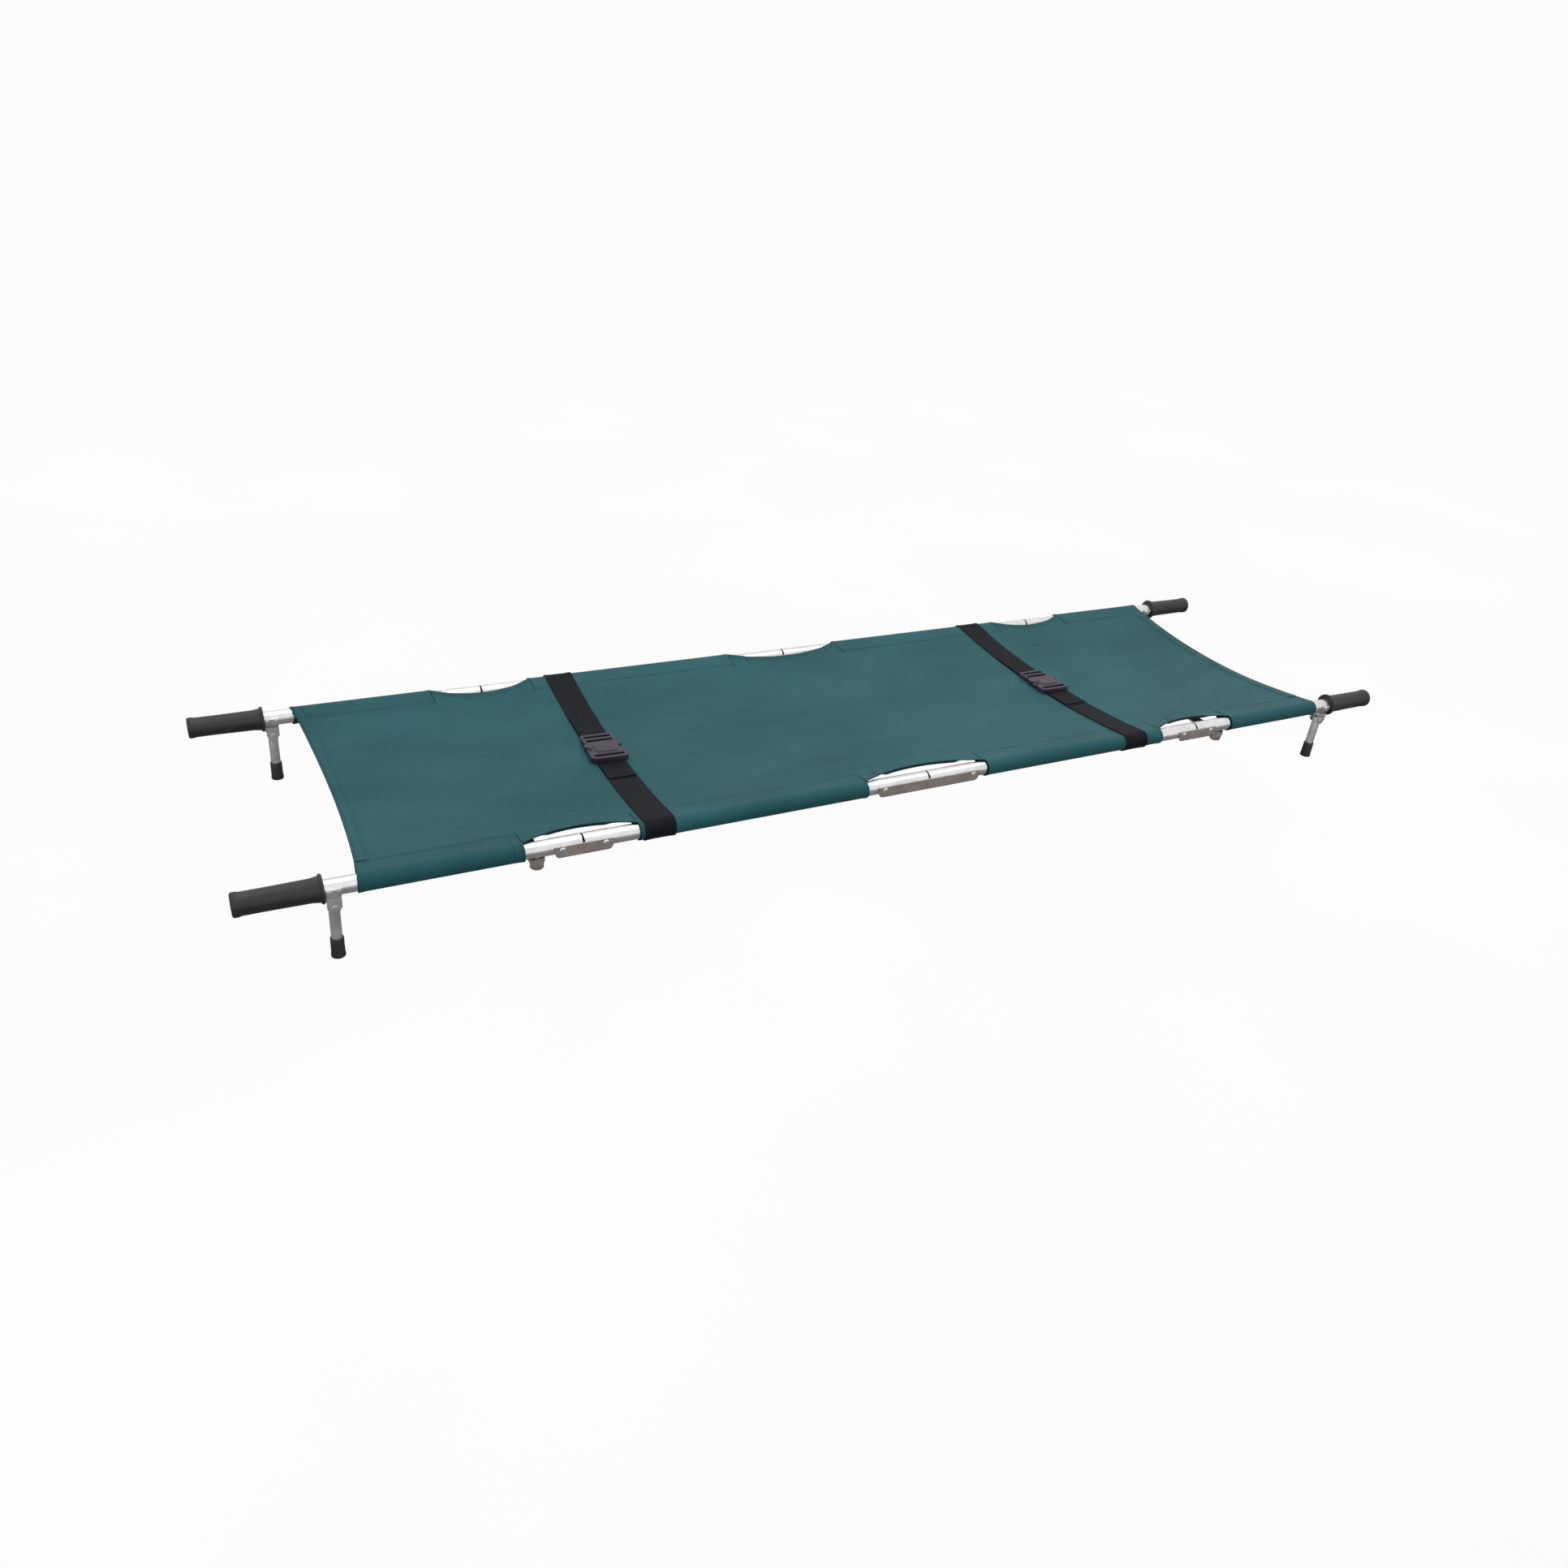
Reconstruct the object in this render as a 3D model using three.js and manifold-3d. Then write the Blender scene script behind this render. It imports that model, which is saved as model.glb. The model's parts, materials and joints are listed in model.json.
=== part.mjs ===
// A quarter-folding cot: two jointed aluminium poles carry a canvas bed between four short legs.
// Millimetres. X runs along the poles, Y across the bed, +Z up; the origin is on the floor at the centre.
import * as THREE from "three";
import { mergeVertices, toCreasedNormals } from "three/addons/utils/BufferGeometryUtils.js";
import Module from "manifold-3d";

const wasm = await Module();
wasm.setup();

// Driving dimensions
const LENGTH = 2210; // grip end to grip end
const POLE_Y = 270; // half of the distance between the poles
const AXIS_Z = 115; // height of the pole axis above the floor
const TUBE_R = 12.5;
const WALL = 1.5;
const GAP = 0.3; // clearance between pieces that touch

// Hinges: each is a channel with two pivots, so that a pole can double back on itself
const OUTER_HINGE_X = 618;
const OUTER_PIVOT = 34; // pivot distance from the middle of an outer hinge
const MIDDLE_PIVOT = 90;
const PIN_R = 3;
const PIN_HEAD_R = 5;
const PIN_HEAD = 1.8;
const CHANNEL_WALL = 2;
const CHANNEL_TOP = 6; // side plates end this far above the pole axis
const CHANNEL_REACH = 12; // and this far past a pivot
const WEB_SHORT = 16; // the floor of the channel stops this far short of a pivot
const BUTT_GAP = 1.5; // from a tube end to the middle of its hinge
const END_SLANT = THREE.MathUtils.degToRad(5);

// Ends
const LEG_X = 976;
const LEG_PIVOT_Z = -30; // from the pole axis
const LEG_R = 7.8;
const BRACKET_REACH = 10; // half of the bracket's length along the pole
const FLANGE_X = 988;
const FOOT_R = 9.5;
const FOOT_HEIGHT = 31;

// Spreader bars
const SPREADER_X = 687;
const BAR_WIDTH = 24;
const BAR_THICK = 3.5;
const BAR_TOP_Z = -15.8;
const BOLT_R = 4;
const BOLT_TOP_Z = -9;
const BOLT_END_Z = -31.5;

// Cloth
const SLEEVE_R = 14.5;
const SLEEVE_BORE = 12.9;
const CLOTH_END = 944;
const CLOTH_THICK = 1.6;
const SAG = 20;
const END_BOW = 14; // the cut edge at each end curves in by this much
const OUTER_CUT = { half: 90, depth: 26 };
const MIDDLE_CUT = { half: 122, depth: 28 };
// Each strap crosses the poles this far from the middle; lean is its drift along X for each mm of Y
const STRAPS = { left: { x: 483, lean: 0.043 }, right: { x: 463, lean: 0 } };
const STRAP_WIDTH = 50;
const STRAP_THICK = 1.5;

const FINE = 20; // facets around a tube
const COARSE = 10; // facets around a pin
const CREASE = THREE.MathUtils.degToRad(35);

const material = (name, color, roughness, metalness) =>
  new THREE.MeshStandardMaterial({ name, color, roughness, metalness });
const ALUMINIUM = material("aluminium", 0xc9c9cb, 0.35, 0.9);
const PLATE = material("plate", 0x9c9490, 0.5, 0.8);
const STEEL = material("steel", 0xd2d2d2, 0.3, 0.95);
const LEG_METAL = material("leg_metal", 0x828284, 0.45, 0.85);
const RUBBER = material("rubber", 0x3a3a3e, 0.8, 0);
const CANVAS = material("canvas", 0x386264, 0.75, 0);
const WEBBING = material("webbing", 0x282a30, 0.85, 0);
const BUCKLE = material("buckle", 0x443e4b, 0.45, 0);

/** A closed three.js geometry as a Manifold solid. */
function toSolid(geometry) {
  const bare = geometry.index ? geometry.toNonIndexed() : geometry.clone();
  bare.deleteAttribute("normal");
  bare.deleteAttribute("uv");
  const merged = mergeVertices(bare, 1e-3);
  const faces = [];
  const index = merged.index.array;
  for (let i = 0; i < index.length; i += 3) {
    const [a, b, c] = index.subarray(i, i + 3);
    if (a !== b && b !== c && c !== a) faces.push(a, b, c);
  }
  return new wasm.Manifold(
    new wasm.Mesh({
      numProp: 3,
      vertProperties: merged.attributes.position.array,
      triVerts: Uint32Array.from(faces),
    }),
  );
}

/** A Manifold solid as a three.js geometry with creased normals. */
function toGeometry(solid) {
  const { vertProperties, triVerts } = solid.getMesh();
  const geometry = new THREE.BufferGeometry();
  geometry.setAttribute("position", new THREE.BufferAttribute(vertProperties, 3));
  geometry.setIndex(new THREE.BufferAttribute(triVerts, 1));
  return toCreasedNormals(geometry, CREASE);
}

function joined(...solids) {
  return solids.reduce((sum, solid) => sum.add(solid));
}

function rodX(radius, x0, x1, facets = FINE) {
  const rod = new THREE.CylinderGeometry(radius, radius, x1 - x0, facets);
  return toSolid(rod.rotateZ(Math.PI / 2).translate((x0 + x1) / 2, 0, 0));
}

function rodY(radius, x, z, reach, facets = COARSE) {
  const rod = new THREE.CylinderGeometry(radius, radius, 2 * reach, facets);
  return toSolid(rod.translate(x, 0, z));
}

function rodZ(radius, x, y, z0, z1, facets = COARSE) {
  const rod = new THREE.CylinderGeometry(radius, radius, z1 - z0, facets);
  return toSolid(rod.rotateX(Math.PI / 2).translate(x, y, (z0 + z1) / 2));
}

function box([x0, x1], [y0, y1], [z0, z1]) {
  const block = new THREE.BoxGeometry(x1 - x0, y1 - y0, z1 - z0);
  return toSolid(block.translate((x0 + x1) / 2, (y0 + y1) / 2, (z0 + z1) / 2));
}

/** A solid turned about the Z axis from [radius, z] points. */
function turned(points, facets = FINE) {
  const profile = points.map(([radius, z]) => new THREE.Vector2(radius, z));
  return toSolid(new THREE.LatheGeometry(profile, facets).rotateX(Math.PI / 2));
}

/** An outline in the YZ plane, drawn with shape coordinates (y, z), run along X from x0 to x1. */
function runAlongX(shape, x0, x1, curveSegments = FINE / 2) {
  const options = { depth: x1 - x0, bevelEnabled: false, curveSegments };
  const run = new THREE.ExtrudeGeometry(shape, options);
  // shape x becomes Y, shape y becomes Z and depth becomes X
  run.applyMatrix4(new THREE.Matrix4().set(0, 0, 1, x0, 1, 0, 0, 0, 0, 1, 0, 0, 0, 0, 0, 1));
  return toSolid(run);
}

/** A box whose slanted face trims a tube end: the end leans back below the axis, to clear its hinge. */
function endTrim(x, outward) {
  const size = 4 * TUBE_R;
  const block = new THREE.BoxGeometry(size, size, size).translate(-size / 2, 0, 0);
  block.rotateY(-END_SLANT).translate(BUTT_GAP + TUBE_R * Math.tan(END_SLANT), 0, 0);
  const trim = toSolid(block);
  return (outward > 0 ? trim : trim.mirror([1, 0, 0])).translate([x, 0, 0]);
}

function tube(x0, x1) {
  return rodX(TUBE_R, x0, x1).subtract(rodX(TUBE_R - WALL, x0 - 1, x1 + 1));
}

function pinHole(x) {
  return rodY(PIN_R + GAP, x, 0, 2 * TUBE_R);
}

function innerTube() {
  return tube(0, OUTER_HINGE_X)
    .subtract(endTrim(0, 1))
    .subtract(endTrim(OUTER_HINGE_X, -1))
    .subtract(pinHole(MIDDLE_PIVOT))
    .subtract(pinHole(OUTER_HINGE_X - OUTER_PIVOT));
}

function outerTube() {
  const boltHole = rodZ(BOLT_R + GAP, SPREADER_X, 0, -2 * TUBE_R, 0);
  return tube(OUTER_HINGE_X, LENGTH / 2 - 3.5)
    .subtract(endTrim(OUTER_HINGE_X, 1))
    .subtract(pinHole(OUTER_HINGE_X + OUTER_PIVOT))
    .subtract(pinHole(LEG_X))
    .subtract(boltHole);
}

/** The U-channel of one hinge, with its middle at x = 0 and its pivots at +-pivot. */
function channel(pivot) {
  const inside = TUBE_R + GAP;
  const outside = inside + CHANNEL_WALL;
  const end = pivot + CHANNEL_REACH;
  const corner = 4;
  const section = new THREE.Shape();
  section.moveTo(-outside, CHANNEL_TOP);
  section.lineTo(-outside, corner - outside);
  section.absarc(corner - outside, corner - outside, corner, Math.PI, 1.5 * Math.PI);
  section.absarc(outside - corner, corner - outside, corner, 1.5 * Math.PI, 2 * Math.PI);
  section.lineTo(outside, CHANNEL_TOP);
  section.lineTo(inside, CHANNEL_TOP);
  section.lineTo(inside, -inside);
  section.lineTo(-inside, -inside);
  section.lineTo(-inside, CHANNEL_TOP);
  const window = [-inside, inside];
  const webCut = [-2 * outside, -inside + 1];
  const side = new THREE.Shape();
  const round = CHANNEL_REACH;
  side.moveTo(-end, CHANNEL_TOP);
  side.lineTo(-end, round - outside);
  side.absarc(round - end, round - outside, round, Math.PI, 1.5 * Math.PI);
  side.absarc(end - round, round - outside, round, 1.5 * Math.PI, 2 * Math.PI);
  side.lineTo(end, CHANNEL_TOP);
  const options = { depth: 4 * outside, bevelEnabled: false, curveSegments: 4 };
  const outline = new THREE.ExtrudeGeometry(side, options).rotateX(Math.PI / 2);
  return runAlongX(section, -end, end, 3)
    .intersect(toSolid(outline.translate(0, 2 * outside, 0)))
    .subtract(box([-end - 1, WEB_SHORT - pivot], window, webCut))
    .subtract(box([pivot - WEB_SHORT, end + 1], window, webCut))
    .subtract(rodY(PIN_R + GAP, -pivot, 0, 2 * outside))
    .subtract(rodY(PIN_R + GAP, pivot, 0, 2 * outside));
}

/** A rivet through a channel and its tube, on the Y axis. */
function hingePin() {
  const seat = TUBE_R + CHANNEL_WALL + 2 * GAP;
  const tip = seat + PIN_HEAD;
  const half = [
    [PIN_R, seat],
    [PIN_HEAD_R, seat],
    [PIN_HEAD_R - 1.5, tip],
  ];
  const mirrored = half.map(([r, z]) => [r, -z]).reverse();
  const pin = turned([[0, -tip], ...mirrored, ...half, [0, tip]], COARSE);
  return pin.rotate([90, 0, 0]);
}

/** A rubber handle over the tube end, with a hand guard towards the leg and a rim at the tip. */
function grip() {
  const bore = TUBE_R + GAP;
  const tip = LENGTH / 2;
  const bodyR = 16.8;
  const guardR = 21.5;
  const points = [
    [bore, FLANGE_X],
    [guardR - 1, FLANGE_X],
    [guardR, FLANGE_X + 1],
    [guardR, FLANGE_X + 3],
    [guardR - 1, FLANGE_X + 4],
    [bodyR + 2, FLANGE_X + 5],
    [bodyR + 0.4, FLANGE_X + 16],
    [bodyR - 0.3, tip - 45],
    [bodyR - 0.3, tip - 12],
    [bodyR + 0.7, tip - 8],
    [bodyR + 0.7, tip - 2],
    [bodyR - 1.3, tip],
    [0, tip],
    [0, tip - 3],
    [bore, tip - 3],
    [bore, FLANGE_X],
  ];
  return turned(points).rotate([0, 90, 0]);
}

/** A saddle under the pole end with two lugs and the leg's pivot pin. */
function legBracket() {
  const inside = TUBE_R + GAP;
  const outside = inside + 2.2;
  const [x0, x1] = [LEG_X - BRACKET_REACH, LEG_X + BRACKET_REACH];
  const lug = LEG_R + GAP;
  const lugs = 2.5;
  const top = 5;
  const lobe = 8;
  const saddle = rodX(outside, x0, x1).subtract(rodX(inside, x0 - 1, x1 + 1));
  const above = box([x0 - 1, x1 + 1], [-outside - 1, outside + 1], [top, outside + 1]);
  const block = box([x0, x1], [-lug - lugs, lug + lugs], [LEG_PIVOT_Z, -inside]);
  const round = rodY(lobe, LEG_X, LEG_PIVOT_Z, lug + lugs, FINE);
  const slot = box([x0 - 1, x1 + 1], [-lug, lug], [LEG_PIVOT_Z - lobe - 1, -outside]);
  const rivet = joined(
    rodY(PIN_R, LEG_X, 0, outside),
    rodY(PIN_HEAD_R, LEG_X, 0, outside + 1.4),
  ).subtract(rodY(PIN_HEAD_R + 1, LEG_X, 0, outside - 0.8));
  const through = rodY(PIN_R, LEG_X, 0, outside);
  const pivot = rodY(PIN_R, LEG_X, LEG_PIVOT_Z, lug + lugs + 1);
  const heads = rodY(PIN_HEAD_R, LEG_X, LEG_PIVOT_Z, lug + lugs + 1.2);
  const headRoom = rodY(PIN_HEAD_R + 1, LEG_X, LEG_PIVOT_Z, lug + 1);
  return joined(saddle.subtract(above), block.subtract(rodX(inside, x0 - 1, x1 + 1)), round)
    .subtract(slot)
    .add(rivet)
    .add(through)
    .add(heads.subtract(headRoom))
    .add(pivot);
}

/** A short tubular leg, closed by a dome above its pivot. */
function leg() {
  const foot = 4.3 - AXIS_Z;
  const bore = LEG_R - WALL;
  const dome = [];
  for (let i = 0; i <= 4; i += 1) {
    const angle = ((Math.PI / 2) * i) / 4;
    dome.push([LEG_R * Math.cos(angle), LEG_PIVOT_Z + LEG_R * Math.sin(angle)]);
  }
  dome[4][0] = 0;
  const inner = LEG_PIVOT_Z - 8;
  const points = [[0, inner], [bore, inner], [bore, foot], [LEG_R, foot], ...dome];
  return turned(points)
    .translate([LEG_X, 0, 0])
    .subtract(rodY(PIN_R + GAP, LEG_X, LEG_PIVOT_Z, 2 * LEG_R));
}

/** A rubber cup on the end of a leg, a little wider where it meets the floor. */
function foot() {
  const floor = -AXIS_Z;
  const bore = LEG_R + GAP;
  const points = [
    [0, floor],
    [FOOT_R + 0.6, floor],
    [FOOT_R + 0.9, floor + 2],
    [FOOT_R + 0.2, floor + 7],
    [FOOT_R, floor + FOOT_HEIGHT - 1],
    [FOOT_R - 0.6, floor + FOOT_HEIGHT],
    [bore, floor + FOOT_HEIGHT],
    [bore, floor + 4],
    [0, floor + 4],
  ];
  return turned(points).translate([LEG_X, 0, 0]);
}

/** A flat half-bar from y = 0 to y = POLE_Y with rounded ends, its top face at z = 0. */
function spreaderBar(startHole, endHole) {
  const half = BAR_WIDTH / 2;
  const outline = new THREE.Shape();
  outline.absarc(0, POLE_Y, half, 0, Math.PI);
  outline.absarc(0, 0, half, Math.PI, 2 * Math.PI);
  for (const [y, radius] of [
    [0, startHole],
    [POLE_Y, endHole],
  ]) {
    const hole = new THREE.Path();
    hole.absarc(0, y, radius, 0, 2 * Math.PI, true);
    outline.holes.push(hole);
  }
  const options = { depth: BAR_THICK, bevelEnabled: false, curveSegments: 5 };
  return toSolid(new THREE.ExtrudeGeometry(outline, options).translate(0, 0, -BAR_THICK));
}

/** The pivot bolt under a pole: a collar holds the bar off the tube and a knob closes it below. */
function spreaderBolt(barTop) {
  const underTube = -TUBE_R - GAP;
  const collarR = 12;
  const knobR = 10.5;
  const knobTop = barTop - BAR_THICK - GAP;
  return turned([
    [0, BOLT_END_Z],
    [knobR - 2, BOLT_END_Z],
    [knobR, BOLT_END_Z + 2],
    [knobR, knobTop],
    [BOLT_R, knobTop],
    [BOLT_R, barTop + GAP],
    [collarR, barTop + GAP],
    [collarR, underTube],
    [BOLT_R, underTube],
    [BOLT_R, BOLT_TOP_Z],
    [0, BOLT_TOP_Z],
  ]);
}

/** The rivet that joins two half-bars; z = 0 is the top face of the upper bar. */
function spreaderPin() {
  const bottom = -2 * BAR_THICK - GAP;
  const head = 2;
  return turned(
    [
      [0, bottom - GAP - head],
      [5, bottom - GAP - head],
      [6, bottom - GAP],
      [PIN_R, bottom - GAP],
      [PIN_R, GAP],
      [6, GAP],
      [5, GAP + head],
      [0, GAP + head],
    ],
    COARSE,
  );
}

/** Height of the underside of the cloth above the pole axis, at y across the bed. */
function clothHeight(y) {
  return SLEEVE_R - CLOTH_THICK - SAG * (1 - (y / POLE_Y) ** 2);
}

/** A sagging band between the poles, from lift above the underside of the cloth. */
function saggingBand(lift, thick, x0, x1) {
  const steps = 10;
  const band = new THREE.Shape();
  for (let i = 0; i <= steps; i += 1) {
    const y = POLE_Y * ((2 * i) / steps - 1);
    band[i === 0 ? "moveTo" : "lineTo"](y, clothHeight(y) + lift);
  }
  for (let i = steps; i >= 0; i -= 1) {
    const y = POLE_Y * ((2 * i) / steps - 1);
    band.lineTo(y, clothHeight(y) + lift + thick);
  }
  return runAlongX(band, x0, x1);
}

/** A round bar on each pole axis, from x0 to x1. */
function poleLoops(radius, x0, x1) {
  const loop = rodX(radius, x0, x1);
  return joined(loop.translate([0, -POLE_Y, 0]), loop.translate([0, POLE_Y, 0]));
}

/** Two upright discs that bite an arc out of both edges of the cloth at a hinge. */
function hingeBites(x, { half, depth }) {
  const radius = (half ** 2 + depth ** 2) / (2 * depth);
  const y = POLE_Y - depth + radius;
  const tall = 3 * SLEEVE_R;
  return joined(
    rodZ(radius, x, y, -tall, tall, 90),
    rodZ(radius, x, -y, -tall, tall, 90),
  );
}

/** The block that cuts both sleeves straight across on each side of a hinge. */
function sleeveBreak(x, { half }) {
  const wide = POLE_Y + 2 * SLEEVE_R;
  return box([x - half, x + half], [-wide, wide], [-2 * SLEEVE_R, 2 * SLEEVE_R]);
}

/** One panel of the canvas from x0 to x1, with its sleeves, cut away at the hinges. */
function canvasPanel(x0, x1) {
  const bowR = (POLE_Y ** 2 + END_BOW ** 2) / (2 * END_BOW);
  const tall = 3 * SLEEVE_R;
  const sleeves = poleLoops(SLEEVE_R, x0, x1)
    .subtract(sleeveBreak(0, MIDDLE_CUT))
    .subtract(sleeveBreak(OUTER_HINGE_X, OUTER_CUT));
  return saggingBand(0, CLOTH_THICK, x0, x1)
    .add(sleeves)
    .subtract(poleLoops(SLEEVE_BORE, x0 - 1, x1 + 1))
    .subtract(hingeBites(0, MIDDLE_CUT))
    .subtract(hingeBites(OUTER_HINGE_X, OUTER_CUT))
    .subtract(rodZ(bowR, CLOTH_END - END_BOW + bowR, 0, -tall, tall, 300));
}

/** A webbing strap over the canvas; its ends wrap the sleeves and stop under the canvas. */
function strap({ x, lean }) {
  const x0 = x - STRAP_WIDTH / 2;
  const x1 = x + STRAP_WIDTH / 2;
  const bore = SLEEVE_R + GAP;
  const canvasRoom = saggingBand(-GAP, CLOTH_THICK + 2 * GAP, x0 - 1, x1 + 1);
  return poleLoops(bore + STRAP_THICK, x0, x1)
    .subtract(canvasRoom)
    .add(saggingBand(CLOTH_THICK + GAP, STRAP_THICK, x0, x1))
    .subtract(poleLoops(bore, x0 - 1, x1 + 1))
    .transform([1, 0, 0, 0, lean, 1, 0, 0, 0, 0, 1, 0, 0, 0, 0, 1]);
}

/** A side-release buckle lying on the middle of a strap, with its length across the bed. */
function buckle({ x, lean }) {
  const width = 66;
  const length = 90;
  const thick = 9;
  const corner = 9;
  const slotHalf = 26;
  const slotNear = 29;
  const slotFar = 37;
  const notchR = 11;
  const outline = new THREE.Shape();
  const [a, b] = [width / 2, length / 2];
  outline.absarc(a - corner, b - corner, corner, 0, Math.PI / 2);
  outline.absarc(corner - a, b - corner, corner, Math.PI / 2, Math.PI);
  outline.absarc(corner - a, corner - b, corner, Math.PI, 1.5 * Math.PI);
  outline.absarc(a - corner, corner - b, corner, 1.5 * Math.PI, 2 * Math.PI);
  for (const [y0, y1] of [
    [-slotFar, -slotNear],
    [slotNear, slotFar],
  ]) {
    const slot = new THREE.Path();
    slot.moveTo(-slotHalf, y0);
    slot.lineTo(-slotHalf, y1);
    slot.lineTo(slotHalf, y1);
    slot.lineTo(slotHalf, y0);
    outline.holes.push(slot);
  }
  const options = { depth: thick, bevelEnabled: false, curveSegments: 4 };
  const body = toSolid(new THREE.ExtrudeGeometry(outline, options));
  const notch = rodZ(notchR, a + notchR / 2, 0, -1, thick + 1, FINE);
  const lift = clothHeight(0) + CLOTH_THICK + STRAP_THICK + 4 * GAP;
  return body
    .subtract(notch)
    .subtract(notch.mirror([1, 0, 0]))
    .rotate([0, 0, -THREE.MathUtils.radToDeg(Math.atan(lean))])
    .translate([x, 0, lift]);
}

function piece(name, solid, look) {
  const mesh = new THREE.Mesh(toGeometry(solid), look);
  mesh.name = name;
  return mesh;
}

/** A group whose +X points to the given end of the bed, at height z and at y across it. */
function endGroup(end, y, z) {
  const group = new THREE.Group();
  group.position.set(0, y, z);
  group.rotation.z = end === "left" ? Math.PI : 0;
  return group;
}

/** Everything on one pole between the middle hinge and one end. */
function poleEnd(side, end) {
  const group = endGroup(end, side === "front" ? -POLE_Y : POLE_Y, AXIS_Z);
  const at = `${side}_${end}`;
  const hinge = piece(`channel_${at}`, channel(OUTER_PIVOT), PLATE);
  hinge.position.x = OUTER_HINGE_X;
  group.add(
    piece(`tube_inner_${at}`, innerTube(), ALUMINIUM),
    piece(`tube_outer_${at}`, outerTube(), ALUMINIUM),
    hinge,
    piece(`grip_${at}`, grip(), RUBBER),
    piece(`leg_bracket_${at}`, legBracket(), LEG_METAL),
    piece(`leg_${at}`, leg(), LEG_METAL),
    piece(`foot_${at}`, foot(), RUBBER),
  );
  for (const [label, x] of [
    ["middle", MIDDLE_PIVOT],
    ["inner", OUTER_HINGE_X - OUTER_PIVOT],
    ["outer", OUTER_HINGE_X + OUTER_PIVOT],
  ]) {
    const pin = piece(`pin_${label}_${at}`, hingePin(), STEEL);
    pin.position.x = x;
    group.add(pin);
  }
  const barTop = side === "front" ? BAR_TOP_Z : BAR_TOP_Z - BAR_THICK - GAP;
  const bolt = piece(`bolt_${at}`, spreaderBolt(barTop), PLATE);
  bolt.position.x = SPREADER_X;
  group.add(bolt);
  return group;
}

/** The two half-bars that hold the poles apart near one end. */
function spreader(end) {
  const group = endGroup(end, 0, AXIS_Z + BAR_TOP_Z);
  const hole = BOLT_R + GAP;
  const near = piece(`spreader_${end}_front`, spreaderBar(PIN_R + GAP, hole), PLATE);
  const far = piece(`spreader_${end}_back`, spreaderBar(PIN_R + GAP, hole), PLATE);
  near.rotation.z = end === "left" ? 0 : Math.PI;
  far.rotation.z = end === "left" ? Math.PI : 0;
  far.position.z = -BAR_THICK - GAP;
  for (const bar of [near, far]) bar.position.x = SPREADER_X;
  const pin = piece(`spreader_pin_${end}`, spreaderPin(), STEEL);
  pin.position.x = SPREADER_X;
  group.add(near, far, pin);
  return group;
}

/** The cloth, strap and buckle of one end. */
function bedEnd(end) {
  const group = endGroup(end, 0, AXIS_Z);
  const split = OUTER_HINGE_X;
  group.add(
    piece(`canvas_inner_${end}`, canvasPanel(GAP, split - GAP), CANVAS),
    piece(`canvas_outer_${end}`, canvasPanel(split + GAP, CLOTH_END + 5), CANVAS),
    piece(`strap_${end}`, strap(STRAPS[end]), WEBBING),
    piece(`buckle_${end}`, buckle(STRAPS[end]), BUCKLE),
  );
  return group;
}

const cot = new THREE.Group();
cot.name = "folding_cot";
for (const end of ["left", "right"]) {
  for (const side of ["front", "back"]) cot.add(poleEnd(side, end));
  cot.add(spreader(end), bedEnd(end));
}
for (const side of ["front", "back"]) {
  const hinge = piece(`channel_${side}_middle`, channel(MIDDLE_PIVOT), PLATE);
  hinge.position.set(0, side === "front" ? -POLE_Y : POLE_Y, AXIS_Z);
  cot.add(hinge);
}

export default cot;
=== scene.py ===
"""Looks of the folding cot: cloth, webbing, buckles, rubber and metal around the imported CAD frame.

Metres, in the CAD frame: X along the poles, Y across the bed, +Z up, origin on the floor.
"""

import json
import math

import bpy
from mathutils import Matrix, Vector, noise


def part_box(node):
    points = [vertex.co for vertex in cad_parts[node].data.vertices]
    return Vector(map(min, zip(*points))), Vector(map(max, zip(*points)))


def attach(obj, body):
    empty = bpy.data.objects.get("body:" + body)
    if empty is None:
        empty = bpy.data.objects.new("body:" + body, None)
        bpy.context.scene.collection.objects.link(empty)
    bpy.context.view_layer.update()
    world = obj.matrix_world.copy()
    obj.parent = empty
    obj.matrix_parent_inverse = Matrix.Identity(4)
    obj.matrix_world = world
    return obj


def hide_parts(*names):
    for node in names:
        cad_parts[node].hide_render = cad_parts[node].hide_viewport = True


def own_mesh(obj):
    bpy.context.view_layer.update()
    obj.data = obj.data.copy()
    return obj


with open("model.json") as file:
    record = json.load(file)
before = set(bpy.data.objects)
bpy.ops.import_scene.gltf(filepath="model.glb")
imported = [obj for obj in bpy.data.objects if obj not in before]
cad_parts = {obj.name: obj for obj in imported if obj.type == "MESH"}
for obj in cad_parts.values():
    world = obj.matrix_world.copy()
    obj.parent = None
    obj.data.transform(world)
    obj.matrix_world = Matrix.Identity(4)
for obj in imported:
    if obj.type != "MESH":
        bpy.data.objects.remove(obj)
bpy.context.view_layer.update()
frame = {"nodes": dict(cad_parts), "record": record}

SIDES = {"front": -1, "back": 1}
ENDS = {"left": -1, "right": 1}


def middle(node):
    """The middle of a CAD node's box."""
    low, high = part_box(node)
    return (Vector(low) + Vector(high)) / 2


def size(node):
    """The size of a CAD node's box along each axis."""
    low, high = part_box(node)
    return Vector(high) - Vector(low)


# Sizes read from the frame
POLE = middle("tube_inner_back_right")
POLE_Y = POLE.y
AXIS_Z = POLE.z
TUBE_R = size("tube_inner_back_right").z / 2
HINGE_X = middle("channel_front_right").x
INNER_PIVOT_X = middle("pin_inner_front_right").x
OUTER_PIVOT_X = middle("pin_outer_front_right").x
MIDDLE_PIVOT_X = middle("pin_middle_front_right").x
# The inboard face of the hinge channels
CHANNEL_Y = POLE_Y - size("channel_front_right").y / 2
SLEEVE_R = size("canvas_inner_right").z / 2
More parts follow.
